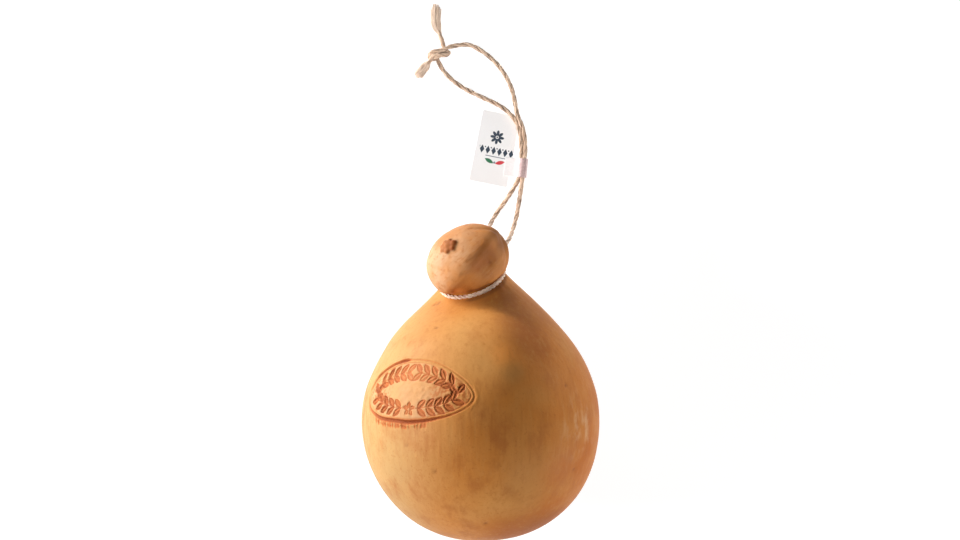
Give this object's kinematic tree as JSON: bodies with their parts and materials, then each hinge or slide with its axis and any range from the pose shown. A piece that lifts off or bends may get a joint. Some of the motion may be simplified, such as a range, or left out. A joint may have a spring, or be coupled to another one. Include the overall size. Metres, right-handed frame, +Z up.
{
  "type": "provolone cheese",
  "caption": "Whole pear-shaped provolone lying on its side, with a twisted head above a tied neck, an oval pressed stamp, a hanging loop of twine and a blank paper label.",
  "frame": {"origin": "on the surface it rests on, under the middle of the cheese's box without the hanging twine, its knot and its label", "axes": "+Y from the cheese's round base towards its tied neck and on along the hanging twine, +Z up out of the side that shows the stamp, +X to the right seen from above"},
  "size_m": [0.1602, 0.3715, 0.158],
  "materials": {
    "rind": "smooth waxy rind, golden yellow to orange brown",
    "twine": "twisted natural twine",
    "neck_twine": "twisted pale twine",
    "paper": "smooth printed paper"
  },
  "bodies": {
    "root": {"cheese": "rind", "neck_wrap": "neck_twine", "neck_knot": "neck_twine", "twine_a": "twine", "twine_b": "twine", "loop_knot": "twine", "tail_up": "twine", "tail_side": "twine", "tag": "paper"}
  },
  "joints": []
}
